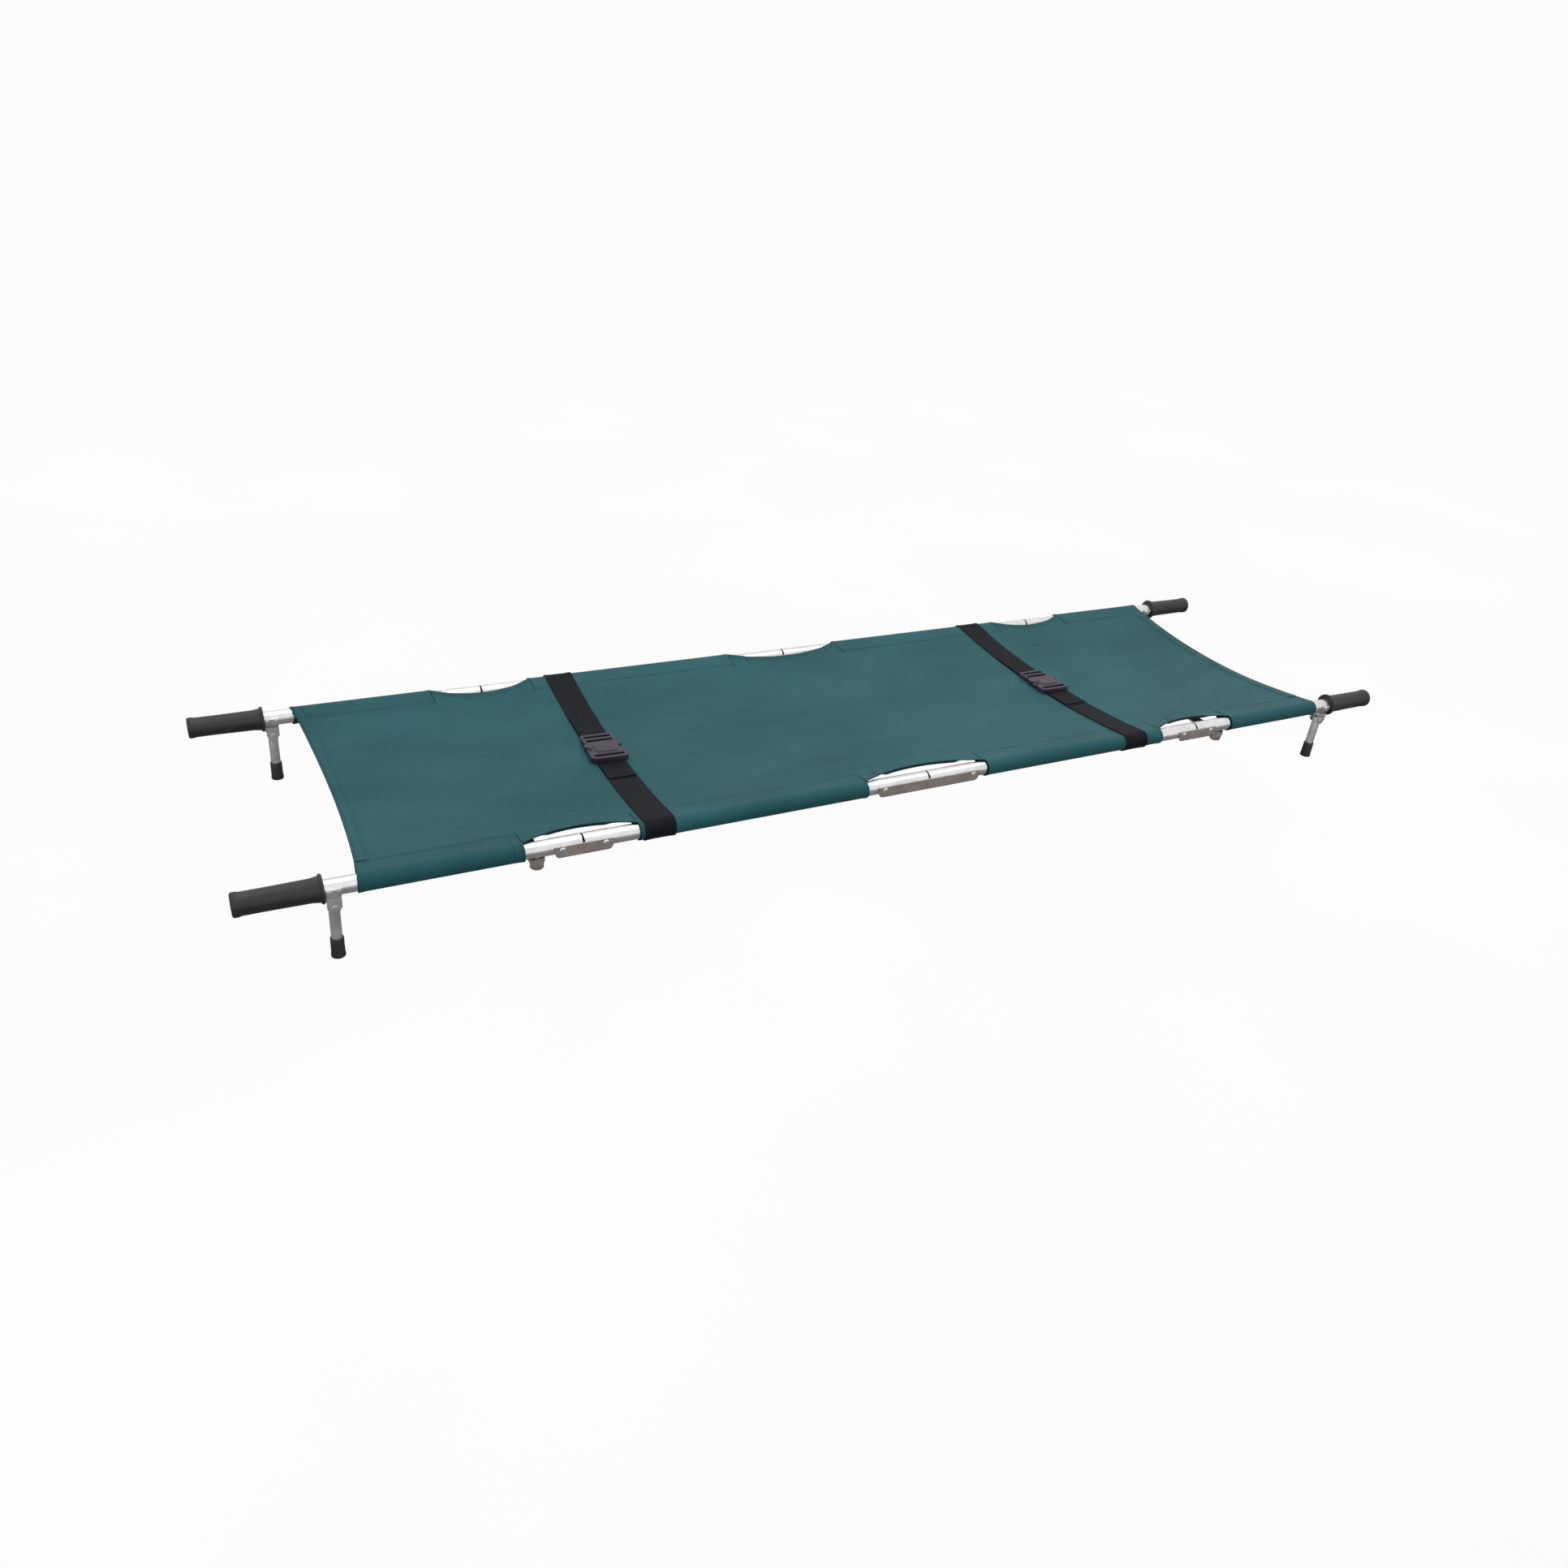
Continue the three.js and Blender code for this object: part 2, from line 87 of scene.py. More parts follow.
# The cloth stops a little inside the end of the CAD's cloth
END_INSET = 0.003
CLOTH_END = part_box("canvas_outer_right")[1][0] - END_INSET
STRAP_X = {end: middle(f"strap_{end}").x for end in ENDS}
STRAP_WIDTH = size("strap_right").x
BUCKLE_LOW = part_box("buckle_right")[0][2]

# The cloth, as part.mjs cuts it. A cut at a hinge is (middle in X, half length, depth of its arc)
SAG = 0.020
END_BOW = 0.014
MIDDLE_CUT = (0.0, 0.122, 0.028)
OUTER_CUT = (HINGE_X, 0.090, 0.026)
CUTS = [MIDDLE_CUT, OUTER_CUT, (-HINGE_X, *OUTER_CUT[1:])]
# Where the sleeves are sewn to the panels, and how far out the lips at the pivots reach
SEAM_Y = POLE_Y - 0.038
LIP_Y = POLE_Y - 0.046
CLOTH = 0.0011
# A lip starts this far under the top of its panel, and turns no tighter than this
LIP_GAP = 0.0003
# The gap between a sleeve's underside and the panel above it
SEAM_GAP = 0.0006
# The cloth over a hinge stays clear of the tubes, whose ends swing up past it
LINK_REACH = POLE_Y - TUBE_R - 0.0015

# Hems are folded double: their widths, how far they stand up and how far a hinge's hem hangs
EDGE_HEM = 0.012
END_HEM = 0.020
SLEEVE_HEM = 0.010
HEM_LIFT = 0.0013
SLEEVE_HEM_LIFT = 0.0006
HEM_HANG = 0.0045
# The hanging part of a hem, as (distance outside the edge, share of the hang)
HANGING = [(0.0006, 1.0), (0.0004, 0.5)]
# It starts this far inboard of a channel, and reaches its full length over this distance
HANG_CLEAR = 0.001
HANG_GROWS = 0.003
# Stands for the distance to a hem where there is none near
NO_HEM = 1.0

# CAD faces that meet at more than this angle keep a hard edge between them
SHARP_ANGLE = math.radians(50)
# The left strap was laid a little askew: its drift along X for each metre of Y
STRAP_LEAN = {"left": 0.043, "right": 0.0}

# The stage. The floor is low enough for the folded cot to hang above it
FLOOR_Z = -1.2
CARD_Z = FLOOR_Z + 0.01
PLANE_REACH = 8.0
CAMERA_AZIMUTH = math.radians(-30.51)
CAMERA_ELEVATION = math.radians(28.95)
CAMERA_ROLL = math.radians(5.96)
CAMERA_TARGET = Vector((-0.1198, 0, AXIS_Z - 0.1355))
CAMERA_DISTANCE = 2.3761
CAMERA_LENS = 28.97


# ---------------------------------------------------------------- materials

# The length of one wave of the wave texture at a scale of 1
WAVE = 0.314


class Nodes:
    """A material's node tree, with short calls to add and join nodes."""

    def __init__(self, name):
        self.material = bpy.data.materials.new(name)
        self.material.use_nodes = True
        self.tree = self.material.node_tree
        self.shader = self.tree.nodes["Principled BSDF"]

    def add(self, kind, settings=None, **inputs):
        """A new node; an underscore in an input's name stands for a space."""
        node = self.tree.nodes.new("ShaderNode" + kind)
        for key, value in (settings or {}).items():
            setattr(node, key, value)
        for key, value in inputs.items():
            self.put(node, key.replace("_", " "), value)
        return node

    def put(self, node, key, value):
        """Joins an input to another node's output, or gives it a value. The key is a name or a number."""
        socket = node.inputs[key]
        if isinstance(value, bpy.types.NodeSocket):
            self.tree.links.new(value, socket)
        else:
            socket.default_value = value

    def shade(self, **inputs):
        """Sets inputs of the surface shader."""
        for key, value in inputs.items():
            self.put(self.shader, key.replace("_", " "), value)

    def ramp(self, source, stops):
        """A colour ramp; each stop is (position, colour)."""
        node = self.add("ValToRGB", Fac=source)
        elements = node.color_ramp.elements
        while len(elements) < len(stops):
            elements.new(0.5)
        for element, (at, color) in zip(elements, stops):
            element.position = at
            element.color = color
        return node.outputs["Color"]

    def noise(self, vector, scale, detail=3.0, roughness=0.5):
        """Noise between 0 and 1."""
        node = self.add("TexNoise", Vector=vector, Scale=scale, Detail=detail, Roughness=roughness)
        return node.outputs["Fac"]

    def stretched(self, vector, scale):
        """A vector scaled along each axis."""
        return self.add("Mapping", Vector=vector, Scale=scale).outputs["Vector"]

    def bump(self, height, strength, distance, normal=None):
        """A normal tilted by a height, on top of another normal if one is given."""
        node = self.add("Bump", Height=height, Strength=strength, Distance=distance)
        if normal is not None:
            self.put(node, "Normal", normal)
        return node.outputs["Normal"]

    def maths(self, operation, a, b=0.0):
        """One sum or comparison of two numbers."""
        node = self.add("Math", {"operation": operation})
        self.put(node, 0, a)
        self.put(node, 1, b)
        return node.outputs["Value"]

    def place(self, kind):
        """Texture coordinates of a kind such as Object or UV."""
        return self.tree.nodes.new("ShaderNodeTexCoord").outputs[kind]


def srgb(r, g, b):
    """A colour given as 0 to 255 screen values, in the linear values that shaders use."""

    def linear(c):
        c = c / 255
        return c / 12.92 if c <= 0.04045 else ((c + 0.055) / 1.055) ** 2.4

    return tuple(linear(c) for c in (r, g, b)) + (1.0,)


CANVAS_DARK = srgb(26, 75, 79)
CANVAS_LIGHT = srgb(36, 86, 91)
THREAD = srgb(14, 52, 56)
# Painted shadow colour for the dark line along each cut edge of the cloth
CUT_EDGE_SHADOW = srgb(12, 40, 43)


def weave(n, uv, pitch, strength, normal):
    """A plain weave bump: two crossed sets of threads at the given pitch."""
    heights = []
    for turn in "XY":
        wave = n.add("TexWave", {"bands_direction": turn}, Vector=uv, Scale=WAVE / pitch, Distortion=0.4)
        heights.append(wave.outputs["Fac"])
    return n.bump(n.maths("MULTIPLY", *heights), strength, pitch * 0.4, normal)


def stitches(n, uv):
    """Dashes of thread beside the two kinds of hem, and how close the cloth is to a cut edge, which marks
    where a painted shadow line goes.
    """
    flat = n.add("SeparateXYZ", Vector=uv)
    rows = []
    edges = []
    for name, along, lines in (("end_hem", "Y", (0.004, 0.016)), ("side_hem", "X", (0.0035, 0.0085))):
        away = n.add("Attribute", {"attribute_name": name}).outputs["Fac"]
        phase = n.maths("FLOORED_MODULO", flat.outputs[along], 0.0042)
        dash = n.maths("LESS_THAN", phase, 0.0030)
        for line in lines:
            near = n.maths("LESS_THAN", n.maths("ABSOLUTE", n.maths("SUBTRACT", away, line)), 0.00055)
            rows.append(n.maths("MULTIPLY", near, dash))
        # A painted shadow line: the cloth within 1.1 mm of a cut edge is marked to be painted dark
        edges.append(n.maths("LESS_THAN", away, 0.0011))
    thread = rows[0]
    for row in rows[1:]:
        thread = n.maths("MAXIMUM", thread, row)
    return thread, n.maths("MAXIMUM", *edges)


def canvas_material():
    """Coated green canvas: a fine weave with faint patches, stitched hems, and cut edges painted darker
    as a painted shadow line along each edge.
    """
    n = Nodes("canvas_cloth")
    uv = n.place("UV")
    place = n.place("Object")
    patch = n.noise(n.stretched(place, (1.0, 2.2, 1.0)), 5.0, 3.0)
    fine = n.noise(uv, 900.0, 2.0)
    base = n.ramp(patch, [(0.3, CANVAS_DARK), (0.7, CANVAS_LIGHT)])
    fibre = n.ramp(fine, [(0.3, (0.90, 0.90, 0.90, 1)), (0.7, (1, 1, 1, 1))])
    tint = n.add("MixRGB", {"blend_type": "MULTIPLY"}, Fac=0.6, Color1=base, Color2=fibre)
    thread, edge = stitches(n, uv)
    sewn = n.add("MixRGB", Fac=thread, Color1=tint.outputs["Color"], Color2=THREAD)
    # Painted shade: the cut edges are painted dark, standing in for the shadow line along them
    cut = n.add("MixRGB", Fac=edge, Color1=sewn.outputs["Color"], Color2=CUT_EDGE_SHADOW)
    rough = n.ramp(fine, [(0.0, (0.50, 0.50, 0.50, 1)), (1.0, (0.64, 0.64, 0.64, 1))])
    ripple = n.bump(n.noise(n.stretched(place, (1.0, 3.0, 1.0)), 9.0, 2.0), 0.25, 0.006)
    raised = n.bump(thread, 0.6, 0.0005, ripple)
    n.shade(Base_Color=cut.outputs["Color"], Roughness=rough, Normal=weave(n, uv, 0.0011, 0.35, raised))
    n.shade(Sheen_Weight=0.02, Sheen_Roughness=0.45, Specular_IOR_Level=0.12)
    return n.material


def webbing_material():
    """Near-black webbing, darker in the grooves of its weave as painted shade."""
    n = Nodes("strap_webbing")
    uv = n.place("UV")
    rib = n.add("TexWave", {"bands_direction": "Y"}, Vector=uv, Scale=WAVE / 0.0022, Distortion=0.6)
    cross = n.add("TexWave", {"bands_direction": "X"}, Vector=uv, Scale=WAVE / 0.0016)
    height = n.maths("MULTIPLY", rib.outputs["Fac"], cross.outputs["Fac"])
    # Painted shade: the colour darkens where the weave's threads dip, mixed half and half with random
    # tone
    shade = n.maths("ADD", n.maths("MULTIPLY", height, 0.5), n.maths("MULTIPLY", n.noise(uv, 120.0), 0.5))
    base = n.ramp(shade, [(0.15, srgb(8, 10, 15)), (0.75, srgb(28, 30, 38))])
    n.shade(Base_Color=base, Roughness=0.62, Normal=n.bump(height, 0.6, 0.0006))
    n.shade(Sheen_Weight=0.01, Sheen_Roughness=0.4, Specular_IOR_Level=0.08)
    return n.material


def plastic_material():
    """Satin plastic of the buckles, with faint wear."""
    n = Nodes("buckle_plastic")
    place = n.place("Object")
    grain = n.noise(place, 1400.0, 2.0)
    wear = n.noise(place, 60.0, 4.0)
    base = n.ramp(wear, [(0.3, srgb(40, 35, 46)), (0.75, srgb(56, 49, 63))])
    rough = n.ramp(wear, [(0.2, (0.34, 0.34, 0.34, 1)), (0.8, (0.48, 0.48, 0.48, 1))])
    n.shade(Base_Color=base, Roughness=rough, Normal=n.bump(grain, 0.25, 0.0002))
    n.shade(Specular_IOR_Level=0.3)
    return n.material


def metal(name, dark, light, rough, brush=(4.0, 500.0, 500.0), scratch=0.12):
    """Anodised or plated metal, brushed along X, with faint handling marks."""
    n = Nodes(name)
    place = n.place("Object")
    lines = n.noise(n.stretched(place, brush), 1.0, 4.0, 0.7)
    marks = n.noise(place, 35.0, 6.0, 0.65)
    base = n.ramp(marks, [(0.35, dark), (0.65, light)])
    both = n.maths("ADD", n.maths("MULTIPLY", lines, 0.5), n.maths("MULTIPLY", marks, 0.5))
    shine = n.ramp(both, [(0.3, (rough - 0.08,) * 3 + (1,)), (0.7, (rough + 0.10,) * 3 + (1,))])
    n.shade(Base_Color=base, Roughness=shine, Normal=n.bump(lines, scratch, 0.0003))
    n.shade(Metallic=1.0)
    return n.material


def rubber_material(name, dark, light, rough):
    """Matt moulded rubber with a fine grain and a little dust."""
    n = Nodes(name)
    place = n.place("Object")
    grain = n.noise(place, 900.0, 3.0)
    dust = n.noise(place, 45.0, 5.0, 0.6)
    base = n.ramp(dust, [(0.35, dark), (0.72, light)])
    shine = n.ramp(dust, [(0.3, (rough - 0.06,) * 3 + (1,)), (0.8, (rough + 0.1,) * 3 + (1,))])
    n.shade(Base_Color=base, Roughness=shine, Normal=n.bump(grain, 0.35, 0.0004))
    return n.material


# ---------------------------------------------------------------- mesh tools


def new_object(name, points, faces, material, uvs=None, smooth=True):
    """A mesh object; uvs holds one pair for each point."""
    mesh = bpy.data.meshes.new(name)
    mesh.from_pydata([tuple(p) for p in points], [], faces)
    if uvs is not None:
        layer = mesh.uv_layers.new(name="flat")
        for loop in mesh.loops:
            layer.data[loop.index].uv = uvs[loop.vertex_index]
    mesh.polygons.foreach_set("use_smooth", [smooth] * len(mesh.polygons))
    mesh.materials.append(material)
    mesh.validate()
    mesh.update()
    mesh.set_sharp_from_angle(angle=math.radians(40))
    obj = bpy.data.objects.new(name, mesh)
    bpy.context.collection.objects.link(obj)
    return obj


def lengths(points):
    """The distance along a line of points, at each of them."""
    run = [0.0]
    for a, b in zip(points, points[1:]):
        run.append(run[-1] + (b - a).length)
    return run


def grid_normal(grid, i, j):
    """The normal of a grid of points at row i, column j."""
    rows, columns = len(grid), len(grid[0])
    along = grid[min(i + 1, rows - 1)][j] - grid[max(i - 1, 0)][j]
    across = grid[i][min(j + 1, columns - 1)] - grid[i][max(j - 1, 0)]
    normal = along.cross(across)
    return normal.normalized() if normal.length > 1e-12 else Vector((0, 0, 1))


def shell_data(grid, thick):
    """Points, faces and flat UVs of a closed thin shell; grid holds its upper surface."""
    rows, columns = len(grid), len(grid[0])
    across = lengths(grid[rows // 2])
    down = lengths([row[columns // 2] for row in grid])
    points, uvs = [], []
    for depth in (0.0, thick):
        for i in range(rows):
            for j in range(columns):
                points.append(grid[i][j] - grid_normal(grid, i, j) * depth)
                uvs.append((down[i], across[j]))
    layer = rows * columns

    def at(i, j, k):
        return k * layer + i * columns + j

    faces = []
    for i in range(rows - 1):
        for j in range(columns - 1):
            faces.append((at(i, j, 0), at(i + 1, j, 0), at(i + 1, j + 1, 0), at(i, j + 1, 0)))
            faces.append((at(i, j, 1), at(i, j + 1, 1), at(i + 1, j + 1, 1), at(i + 1, j, 1)))
    for i in range(rows - 1):
        faces.append((at(i, 0, 0), at(i, 0, 1), at(i + 1, 0, 1), at(i + 1, 0, 0)))
        last = columns - 1
        faces.append((at(i, last, 0), at(i + 1, last, 0), at(i + 1, last, 1), at(i, last, 1)))
    for j in range(columns - 1):
        faces.append((at(0, j, 0), at(0, j + 1, 0), at(0, j + 1, 1), at(0, j, 1)))
        last = rows - 1
        faces.append((at(last, j, 0), at(last, j, 1), at(last, j + 1, 1), at(last, j + 1, 0)))
    return points, faces, uvs


def shell(name, grid, thick, material):
    """A closed thin shell whose upper surface is a grid of points."""
    points, faces, uvs = shell_data(grid, thick)
    return new_object(name, points, faces, material, uvs)


def mark(obj, name, grid):
    """Stores a number at every point of both faces of a shell."""
    values = [value for row in grid for value in row]
    layer = obj.data.attributes.new(name, "FLOAT", "POINT")
    layer.data.foreach_set("value", values + values)


# ---------------------------------------------------------------- the canvas


def cloth_z(x, y):
    """Height of the top of the canvas: a sag between the poles with a faint unevenness."""
    across = 1 - (y / POLE_Y) ** 2
    uneven = noise.noise(Vector((x * 3.1, y * 5.0, 0.3))) * 0.0016
    uneven += noise.noise(Vector((x * 9.0, y * 13.0, 4.1))) * 0.0005
    return AXIS_Z + SLEEVE_R - across * (SAG + uneven)


def cut_y(x):
    """How far out the canvas reaches at x: to the seam, or in a hinge gap to the arc of its edge."""
    for centre, half, depth in CUTS:
        if abs(x - centre) < half:
            radius = (half**2 + depth**2) / (2 * depth)
            return POLE_Y - depth + radius - math.sqrt(radius**2 - (x - centre) ** 2)
    return SEAM_Y


def in_gap(x):
    """Whether x lies in the gap that the canvas leaves round a hinge."""
    return any(abs(x - centre) < half for centre, half, _ in CUTS)


def end_x(y):
    """Where the canvas ends at y: its cut edge bows in between the poles."""
    radius = (POLE_Y**2 + END_BOW**2) / (2 * END_BOW)
    return CLOTH_END - END_BOW + radius - math.sqrt(radius**2 - y**2)


def stations(x0, x1, step=0.010):
    """Places along X from x0 to x1, with a close pair wherever a hinge gap begins."""
    count = max(2, round(abs(x1 - x0) / step))
    places = [x0 + (x1 - x0) * i / count for i in range(count + 1)]
    for centre, half, _ in CUTS:
        for kink in (centre - half, centre + half):
            if x0 + 0.001 < kink < x1 - 0.001:
                places += [kink - 0.0002, kink + 0.0002]
    return sorted(places)


# Columns of the cloth near its long edges, as distances from the edge
EDGE_COLUMNS = [0.0, 0.001, 0.006, EDGE_HEM, EDGE_HEM + 0.001]
COLUMNS = 40


def across_columns(reach):
    """Columns of the cloth from edge to edge, as (y, share of the hem's hang below the edge)."""
    hanging = [(-reach - out, share) for out, share in HANGING]
    near = hanging + [(d - reach, 0.0) for d in EDGE_COLUMNS]
    inner = reach - EDGE_COLUMNS[-1] - 0.010
    between = [(inner * (2 * j / COLUMNS - 1), 0.0) for j in range(COLUMNS + 1)]
    return near + between + [(-y, share) for y, share in near[::-1]]


def hem_hang(reach):
    """How far the folded hem hangs at a hinge: nothing over the channel, all of it further in."""
    share = (CHANNEL_Y - HANG_CLEAR - reach) / HANG_GROWS
    return HEM_HANG * min(1.0, max(0.0, share))


class Panel:
    """Rows of points on top of a canvas panel, with each point's distance from the hemmed edges."""

    def __init__(self):
        self.points = []
        self.end_hem = []
        self.side_hem = []

    def add(self, row, end_hem, side_hem, first=False):
        """Adds a row after the others, or before them."""
        at = 0 if first else len(self.points)
        self.points.insert(at, row)
        self.end_hem.insert(at, end_hem)
        self.side_hem.insert(at, side_hem)


def panel_row(panel, x_at, reach, gap, end_hem_at, first=False):
    """Adds one row across the bed; the hems are folded double and stand a little higher."""
    row, ends, sides = [], [], []
    hang = hem_hang(reach) if gap else 0.0
    for y, share in across_columns(reach):
        side = reach - abs(y) if gap else NO_HEM
        end = end_hem_at(y)
        x = x_at(y)
        doubled = side <= EDGE_HEM or end <= END_HEM
        row.append(Vector((x, y, cloth_z(x, y) + (HEM_LIFT if doubled else 0.0) - share * hang)))
        ends.append(end)
        sides.append(side)
    panel.add(row, ends, sides, first)


def turn_down(panel, pivot, way):
    """Adds a lip that follows a quarter turn about a hinge axis, so that no gap opens when it folds."""
    reach = min(cut_y(pivot), LIP_Y)
    for step in range(1, 7):
        angle = math.radians(15 * step)
        row, ends, sides = [], [], []
        for y, _ in across_columns(reach):
            radius = cloth_z(pivot, y) - AXIS_Z - LIP_GAP
            low = min(radius, 0.0)
            radius = max(radius, LIP_GAP)
            x = pivot + way * radius * math.sin(angle)
            row.append(Vector((x, y, AXIS_Z + low + radius * math.cos(angle))))
            ends.append(NO_HEM)
            sides.append(reach - abs(y))
        panel.add(row, ends, sides, first=way < 0)


def flat_panel(x0, x1, lips=()):
    """A panel of the canvas from x0 to x1. A lip is (pivot x, way it faces)."""
    panel = Panel()
    for x in stations(x0, x1):
        reach = min(cut_y(x), LINK_REACH) if lips else cut_y(x)
        panel_row(panel, lambda y: x, reach, in_gap(x), lambda y: NO_HEM)
    for pivot, way in lips:
        turn_down(panel, pivot, way)
    return panel


def end_panel(way):
    """The panel from an outer pivot to the bowed end of the canvas."""
    panel = Panel()
    span = CLOTH_END - OUTER_PIVOT_X
    places = [x for x in stations(OUTER_PIVOT_X, CLOTH_END) if x < CLOTH_END - END_HEM - 0.003]
    places += [CLOTH_END - away for away in (END_HEM + 0.001, END_HEM, END_HEM / 2, 0.001, 0.0)]
    for x in places:
        share = (x - OUTER_PIVOT_X) / span

        def x_at(y):
            return way * (OUTER_PIVOT_X + share * (end_x(y) - OUTER_PIVOT_X))

        def end_hem_at(y):
            return (1 - share) * (end_x(y) - OUTER_PIVOT_X)

        panel_row(panel, x_at, cut_y(x), in_gap(x), end_hem_at, first=way < 0)
    return panel


def folds_across(obj):
    """Gives a piece a mesh of its own."""
    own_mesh(obj)


def cloth_panel(name, panel, body, replaced):
    """A piece of the canvas that rides on a body and may replace a CAD node."""
    obj = shell(name, panel.points, CLOTH, LOOK["canvas"])
    mark(obj, "end_hem", panel.end_hem)
    mark(obj, "side_hem", panel.side_hem)
    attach(obj, body)
    folds_across(obj)
    if replaced:
        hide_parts(replaced)


def canvas():
    """The canvas as seven panels: one for each part of the poles and one over each hinge."""
    for end, way in ENDS.items():
        outer = f"front_outer_{end}"
        cloth_panel(f"canvas_end_{end}", end_panel(way), outer, f"canvas_outer_{end}")
        lo, hi = sorted((way * INNER_PIVOT_X, way * OUTER_PIVOT_X))
        over_hinge = flat_panel(lo, hi, [(lo, -1), (hi, 1)])
        cloth_panel(f"canvas_hinge_{end}", over_hinge, f"front_{end}_link", None)
        lo, hi = sorted((way * MIDDLE_PIVOT_X, way * INNER_PIVOT_X))
        inner = f"front_inner_{end}"
        cloth_panel(f"canvas_middle_{end}", flat_panel(lo, hi), inner, f"canvas_inner_{end}")
    lo, hi = -MIDDLE_PIVOT_X, MIDDLE_PIVOT_X
    centre = flat_panel(lo, hi, [(lo, -1), (hi, 1)])
    cloth_panel("canvas_centre", centre, "front_middle_link", None)


def sleeve_profile(lift=0.0, seam=SEAM_Y):
    """The loop of cloth around a pole as (y, z) points from the seam's top round to its underside.

    y is measured outwards from the middle of the bed; lift is the distance outside the canvas.
    """
    radius = SLEEVE_R + lift
    slope = 2 * SAG / POLE_Y
    start = math.atan(slope)
    profile = []
    for i in range(6):
        y = seam + (POLE_Y - radius * math.sin(start) - seam) * i / 6
        profile.append((y, AXIS_Z + radius - SAG * (1 - (y / POLE_Y) ** 2)))
    bottom = math.radians(205)
    for i in range(25):
        angle = -start + (bottom + start) * i / 24
        profile.append((POLE_Y + radius * math.sin(angle), AXIS_Z + radius * math.cos(angle)))
    last_y, last_z = profile[-1]
    under = AXIS_Z + SLEEVE_R - SAG * (1 - (seam / POLE_Y) ** 2) - CLOTH - lift - SEAM_GAP
    for i in range(1, 6):
        share = i / 5
        profile.append((last_y + (seam - last_y) * share, last_z + (under - last_z) * share))
    return profile


def along_sleeve(low, high, hem, count):
    """Places from low to high along a sleeve, each with its distance from the nearer end."""
    ends = [0.0, 0.001, hem, hem + 0.001] if hem else [0.0]
    reach = ends[-1] + 0.012
    inner = [low + reach + (high - low - 2 * reach) * i / count for i in range(count + 1)]
    places = [low + d for d in ends] + inner + [high - d for d in ends[::-1]]
    return [(x, min(x - low, high - x)) for x in places]


def sleeve(name, side, x_low, x_high, body, thick, look, lift=0.0, hem=SLEEVE_HEM):
    """Cloth round one pole; x_low and x_high give its ends at a distance y across the bed."""
    way = SIDES[side]
    plain = sleeve_profile(lift)
    doubled = sleeve_profile(lift + SLEEVE_HEM_LIFT)
    around = lengths([Vector((0, y, z)) for y, z in plain])
    count = max(2, round((x_high(POLE_Y) - x_low(POLE_Y)) / 0.014))
    grid, end_hem, side_hem = [], [], []
    for i, (y, z) in enumerate(plain):
        row = []
        ends = []
        for x, away in along_sleeve(x_low(y), x_high(y), hem, count):
            on_y, on_z = doubled[i] if away <= hem else (y, z)
            row.append(Vector((x, way * on_y, on_z)))
            ends.append(away if hem else NO_HEM)
        seam = min(around[i], around[-1] - around[i])
        grid.append(row)
        end_hem.append(ends)
        side_hem.append([seam + 0.0012] * len(row))
    if way > 0:
        grid = [row[::-1] for row in grid]
        end_hem = [row[::-1] for row in end_hem]
    obj = shell(name, grid, thick, look)
    mark(obj, "end_hem", end_hem)
    mark(obj, "side_hem", side_hem)
    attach(obj, body)
    return obj


def sleeves():
    """The eight loops of canvas that hold the poles."""
    spans = {
        "outer": (lambda y: HINGE_X + OUTER_CUT[1], end_x),
        "inner": (lambda y: MIDDLE_CUT[1], lambda y: HINGE_X - OUTER_CUT[1]),
    }
    for side in SIDES:
        for end, way in ENDS.items():
            for part, (near, far) in spans.items():
                low, high = (near, far) if way > 0 else (lambda y: -far(y), lambda y: -near(y))
                body = f"{side}_{part}_{end}"
                obj = sleeve(f"sleeve_{body}", side, low, high, body, CLOTH, LOOK["canvas"])
                length = far(POLE_Y) - near(POLE_Y)


# ---------------------------------------------------------------- straps

WEBBING = 0.0014
STRAP_LIFT = 0.0018
# The tails start under the buckle, this far from its middle
TAIL_START = 0.040
FAR_TAIL = 0.085
NEAR_TAIL = 0.065


def strap_grid(end, y0, y1, half_width, lift):
    """Rows of points on top of a strip of webbing between y0 and y1, over the canvas."""
    count = max(8, round((y1 - y0) / 0.008))
    grid = []
    for i in range(7):
        row = []
        for j in range(count + 1):
            y = y0 + (y1 - y0) * j / count
            centre = STRAP_X[end] + STRAP_LEAN[end] * y
            row.append(Vector((centre + half_width * (i / 3 - 1), y, cloth_z(centre, y) + lift)))
        grid.append(row)
    return grid


def strap_strip(name, end, grid):
    """A strip of webbing laid on the canvas."""
    obj = shell(name, grid, WEBBING, LOOK["webbing"])
    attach(obj, f"front_inner_{end}")
    folds_across(obj)
    return obj


def straps():
    """Both straps: a band under the buckle, two folded-back tails and a loop round each pole."""
    half = STRAP_WIDTH / 2
    for end in ENDS:
        grid = strap_grid(end, -SEAM_Y, SEAM_Y, half, STRAP_LIFT)
        band = strap_strip(f"strap_band_{end}", end, grid)
        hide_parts(f"strap_{end}")
        far = ("far", TAIL_START, TAIL_START + FAR_TAIL)
        near = ("near", -TAIL_START - NEAR_TAIL, -TAIL_START)
        for label, y0, y1 in (far, near):
            grid = strap_grid(end, y0, y1, half - 0.001, STRAP_LIFT + WEBBING + 0.0002)
            strap_strip(f"strap_tail_{label}_{end}", end, grid)
        for side, way in SIDES.items():
            lean = STRAP_LEAN[end] * way
            low = STRAP_X[end] - half
            loop = sleeve(
                f"strap_loop_{side}_{end}",
                side,
                lambda y: low + lean * y,
                lambda y: low + STRAP_WIDTH + lean * y,
                f"{side}_inner_{end}",
                WEBBING,
                LOOK["webbing"],
                STRAP_LIFT,
                hem=0.0,
            )


# ---------------------------------------------------------------- buckles


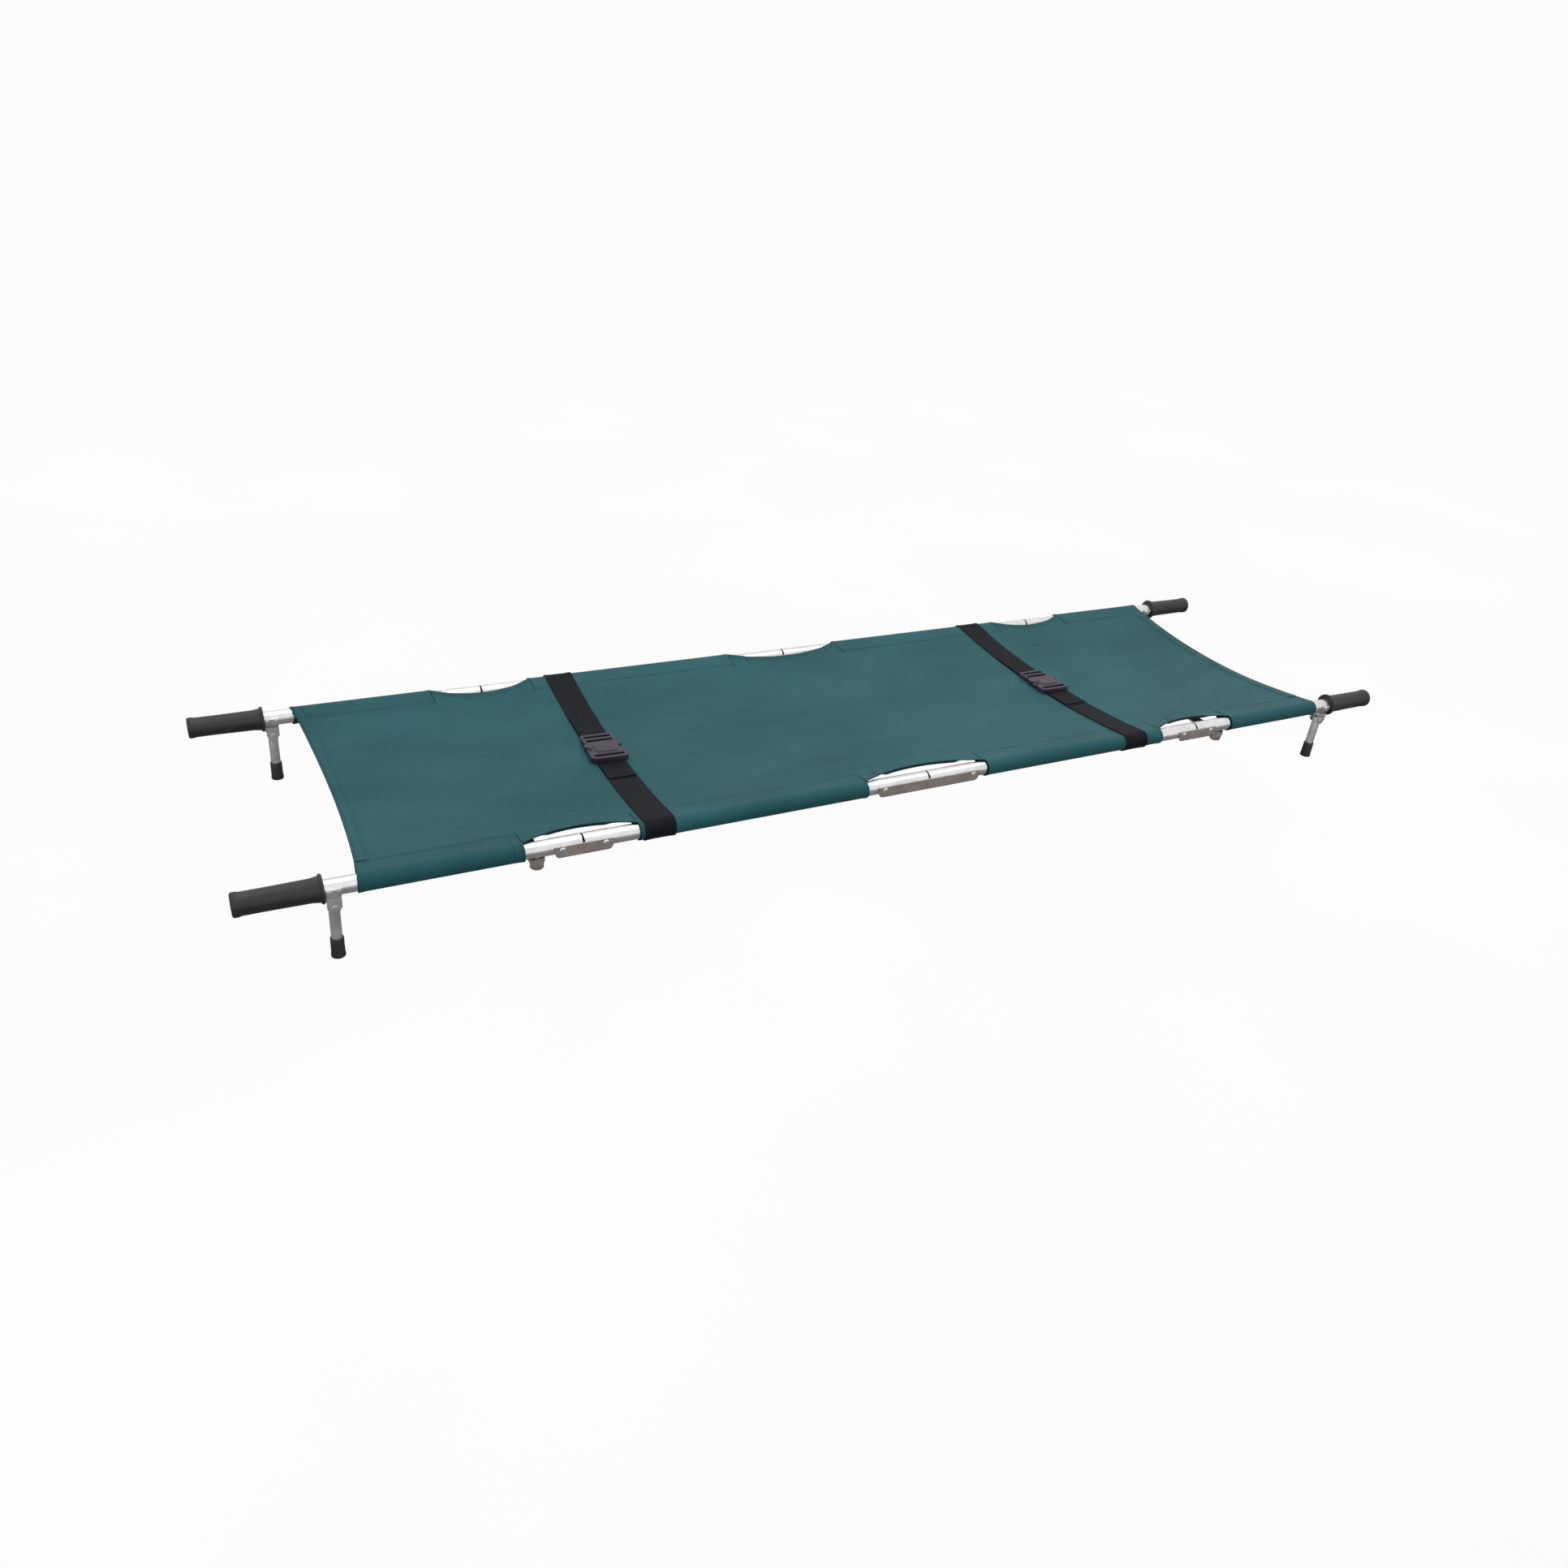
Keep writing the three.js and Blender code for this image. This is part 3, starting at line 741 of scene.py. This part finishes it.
def rounded(x0, x1, y0, y1, corner, steps=5):
    """A rectangle with round corners, as a closed outline."""
    outline = []
    corners = ((x1, y1, 0), (x0, y1, 90), (x0, y0, 180), (x1, y0, 270))
    for x, y, start in corners:
        centre_x = x - math.copysign(corner, x - (x0 + x1) / 2)
        centre_y = y - math.copysign(corner, y - (y0 + y1) / 2)
        for step in range(steps + 1):
            angle = math.radians(start + 90 * step / steps)
            outline.append((centre_x + corner * math.cos(angle), centre_y + corner * math.sin(angle)))
    return outline


def notched(half, y0, y1, corner, notch_y, notch_r, depth):
    """A rounded plate outline with a round notch in each of its two sides."""
    bite = []
    spread = math.acos(1 - depth / notch_r)
    for step in range(-5, 6):
        angle = spread * step / 5
        off = notch_r * (math.cos(angle) - math.cos(spread))
        bite.append((half - off, notch_y + notch_r * math.sin(angle)))
    outline = rounded(-half, half, y0, y1, corner)
    count = len(outline) // 4
    upper_right, upper_left = outline[:count], outline[count : 2 * count]
    lower_left, lower_right = outline[2 * count : 3 * count], outline[3 * count :]
    left_bite = [(-x, y) for x, y in bite[::-1]]
    return upper_right + upper_left + left_bite + lower_left + lower_right + bite


def moulded(name, outlines, low, high, bevel, look):
    """A moulded plate between two heights, with soft edges; the outlines after the first are holes."""
    data = bpy.data.curves.new(name, "CURVE")
    data.dimensions = "2D"
    data.fill_mode = "BOTH"
    data.extrude = (high - low) / 2 - bevel
    data.bevel_depth = bevel
    data.bevel_resolution = 3
    data.offset = -bevel
    for outline in outlines:
        spline = data.splines.new("POLY")
        spline.points.add(len(outline) - 1)
        for point, (x, y) in zip(spline.points, outline):
            point.co = (x, y, 0, 1)
        spline.use_cyclic_u = True
    shape = bpy.data.objects.new(name, data)
    mesh = bpy.data.meshes.new_from_object(shape)
    bpy.data.objects.remove(shape)
    mesh.name = name
    mesh.transform(Matrix.Translation((0, 0, (low + high) / 2)))
    mesh.polygons.foreach_set("use_smooth", [True] * len(mesh.polygons))
    mesh.set_sharp_from_angle(angle=math.radians(50))
    mesh.materials.clear()
    mesh.materials.append(look)
    obj = bpy.data.objects.new(name, mesh)
    bpy.context.collection.objects.link(obj)
    return obj


def buckles():
    """Side-release buckles: a socket on the front webbing and a plug with a ladder bar behind it."""
    for end in ENDS:
        socket_outline = notched(0.033, -0.045, 0.010, 0.008, -0.012, 0.012, 0.009)
        front_slot = rounded(-0.026, 0.026, -0.038, -0.031, 0.002)
        ladder = [
            rounded(-0.0285, 0.0285, 0.013, 0.045, 0.006),
            rounded(-0.0235, 0.0235, 0.0185, 0.0255, 0.002),
            rounded(-0.0235, 0.0235, 0.0320, 0.0390, 0.002),
        ]
        pieces = {
            "socket": ([socket_outline, front_slot], 0.0, 0.0090, 0.0014),
            "dome": ([rounded(-0.019, 0.019, -0.024, 0.005, 0.006)], 0.0080, 0.0102, 0.0010),
            "plug": (ladder, 0.0008, 0.0072, 0.0012),
            "neck": ([rounded(-0.0215, 0.0215, 0.004, 0.018, 0.003)], 0.0022, 0.0066, 0.0010),
            "prongs": ([rounded(-0.0315, 0.0315, -0.021, -0.003, 0.006)], 0.0022, 0.0066, 0.0012),
            "mouth": ([rounded(-0.029, 0.029, 0.0085, 0.0115, 0.0012)], 0.0004, 0.0086, 0.0008),
        }
        tilt = Matrix.Rotation(-math.atan(STRAP_LEAN[end]), 4, "Z")
        place = Matrix.Translation((STRAP_X[end], 0, BUCKLE_LOW)) @ tilt
        for label, (outlines, low, high, bevel) in pieces.items():
            obj = moulded(f"buckle_{label}_{end}", outlines, low, high, bevel, LOOK["buckle"])
            obj.data.transform(place)
            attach(obj, f"buckle_{end}")
            if label == "socket":
                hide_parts(f"buckle_{end}")


# ---------------------------------------------------------------- CAD nodes


def rounding():
    """A node group that welds a CAD mesh and shades it smooth, except across sharp edges."""
    group = bpy.data.node_groups.new("rounding", "GeometryNodeTree")
    group.interface.new_socket("Geometry", in_out="INPUT", socket_type="NodeSocketGeometry")
    group.interface.new_socket("Geometry", in_out="OUTPUT", socket_type="NodeSocketGeometry")
    source = group.nodes.new("NodeGroupInput")
    weld = group.nodes.new("GeometryNodeMergeByDistance")
    weld.inputs["Distance"].default_value = 0.00001
    clear = group.nodes.new("GeometryNodeRemoveAttribute")
    clear.inputs["Name"].default_value = "custom_normal"
    faces = group.nodes.new("GeometryNodeSetShadeSmooth")
    angle = group.nodes.new("GeometryNodeInputMeshEdgeAngle")
    sharp = group.nodes.new("FunctionNodeCompare")
    sharp.operation = "GREATER_THAN"
    sharp.inputs["B"].default_value = SHARP_ANGLE
    edges = group.nodes.new("GeometryNodeSetShadeSmooth")
    edges.domain = "EDGE"
    edges.inputs["Shade Smooth"].default_value = False
    result = group.nodes.new("NodeGroupOutput")
    group.links.new(source.outputs["Geometry"], weld.inputs["Geometry"])
    group.links.new(weld.outputs["Geometry"], clear.inputs["Geometry"])
    group.links.new(clear.outputs["Geometry"], faces.inputs["Geometry"])
    group.links.new(faces.outputs["Geometry"], edges.inputs["Geometry"])
    group.links.new(angle.outputs["Unsigned Angle"], sharp.inputs["A"])
    group.links.new(sharp.outputs["Result"], edges.inputs["Selection"])
    group.links.new(edges.outputs["Geometry"], result.inputs["Geometry"])
    return group


def dress_cad():
    """Gives every CAD node that stays a detailed material and smooth round faces."""
    round_off = rounding()
    slots = {row["node"]: row["material_slot"] for row in frame["record"]["subparts"]}
    for name, obj in frame["nodes"].items():
        look = LOOK.get(slots[name])
        if look is None:
            continue
        for holder in obj.material_slots:
            holder.material = look
        obj.modifiers.new("rounding", "NODES").node_group = round_off


# ---------------------------------------------------------------- stage


def camera():
    """The camera, from the front left and above, rolled a little."""
    level = math.cos(CAMERA_ELEVATION)
    x = math.sin(CAMERA_AZIMUTH) * level
    y = -math.cos(CAMERA_AZIMUTH) * level
    back = Vector((x, y, math.sin(CAMERA_ELEVATION)))
    right = (-back).cross(Vector((0, 0, 1))).normalized()
    up = right.cross(-back)
    tilted = right * math.cos(CAMERA_ROLL) + up * math.sin(CAMERA_ROLL)
    upright = up * math.cos(CAMERA_ROLL) - right * math.sin(CAMERA_ROLL)
    data = bpy.data.cameras.new("camera")
    data.sensor_width = 36
    data.lens = CAMERA_LENS
    data.clip_end = 50
    obj = bpy.data.objects.new("camera", data)
    turn = Matrix((tilted, upright, back)).transposed().to_4x4()
    obj.matrix_world = Matrix.Translation(CAMERA_TARGET + back * CAMERA_DISTANCE) @ turn
    bpy.context.collection.objects.link(obj)
    bpy.context.scene.camera = obj


def area_light(name, at, aim, width, height, power):
    """A soft rectangular light."""
    data = bpy.data.lights.new(name, "AREA")
    data.shape = "RECTANGLE"
    data.size, data.size_y = width, height
    data.energy = power
    obj = bpy.data.objects.new(name, data)
    obj.location = at
    obj.rotation_euler = (Vector(aim) - Vector(at)).to_track_quat("-Z", "Y").to_euler()
    bpy.context.collection.objects.link(obj)


def lights():
    """A white surround with a broad light above and a weak one in front."""
    world = bpy.data.worlds.new("studio")
    world.use_nodes = True
    world.node_tree.nodes["Background"].inputs["Color"].default_value = (1, 1, 1, 1)
    world.node_tree.nodes["Background"].inputs["Strength"].default_value = 0.97
    bpy.context.scene.world = world
    bpy.context.scene.view_settings.view_transform = "Standard"
    area_light("top_light", (0.2, 0.3, 2.6), (0, 0, 0), 3.2, 2.0, 30)
    area_light("front_light", (-1.6, -2.6, 1.6), (0, 0, 0.1), 1.6, 1.2, 4)


def plane(name, height, material):
    """A wide level plane that isn't part of the cot."""
    corners = [(-1, -1), (1, -1), (1, 1), (-1, 1)]
    points = [(x * PLANE_REACH, y * PLANE_REACH, height) for x, y in corners]
    obj = new_object(name, points, [(0, 1, 2, 3)], material, smooth=False)
    return obj


def floor():
    """A pale floor that glows, so that it takes no shadow."""
    n = Nodes("pale_floor")
    patches = n.noise(n.place("Object"), 0.6)
    pale = n.ramp(patches, [(0.3, (0.96, 0.96, 0.96, 1)), (0.7, (0.98, 0.98, 0.98, 1))])
    n.shade(Base_Color=(0, 0, 0, 1), Specular_IOR_Level=0.0, Emission_Color=pale, Emission_Strength=1.0)
    plane("floor", FLOOR_Z, n.material)


def bounce_card():
    """A grey card over the floor, unseen by the camera: it keeps the undersides and metal darker."""
    n = Nodes("bounce_card")
    patches = n.noise(n.place("Object"), 1.0)
    grey = n.ramp(patches, [(0.3, (0.20, 0.19, 0.19, 1)), (0.7, (0.24, 0.23, 0.23, 1))])
    n.shade(Base_Color=(0, 0, 0, 1), Specular_IOR_Level=0.0, Emission_Color=grey, Emission_Strength=1.0)
    plane("bounce_card", CARD_Z, n.material).visible_camera = False


LOOK = {
    "canvas": canvas_material(),
    "webbing": webbing_material(),
    "buckle": plastic_material(),
    "aluminium": metal("anodised_tube", srgb(214, 214, 216), srgb(232, 232, 233), 0.24, scratch=0.05),
    "plate": metal("hinge_plate", srgb(190, 181, 175), srgb(212, 203, 197), 0.38),
    "steel": metal("zinc_rivet", srgb(206, 206, 208), srgb(228, 228, 230), 0.28),
    "leg_metal": metal("leg_tube", srgb(208, 208, 210), srgb(230, 230, 232), 0.36),
    "rubber": rubber_material("grip_rubber", srgb(20, 20, 22), srgb(34, 34, 37), 0.5),
}

camera()
lights()
floor()
bounce_card()
dress_cad()
canvas()
sleeves()
straps()
buckles()
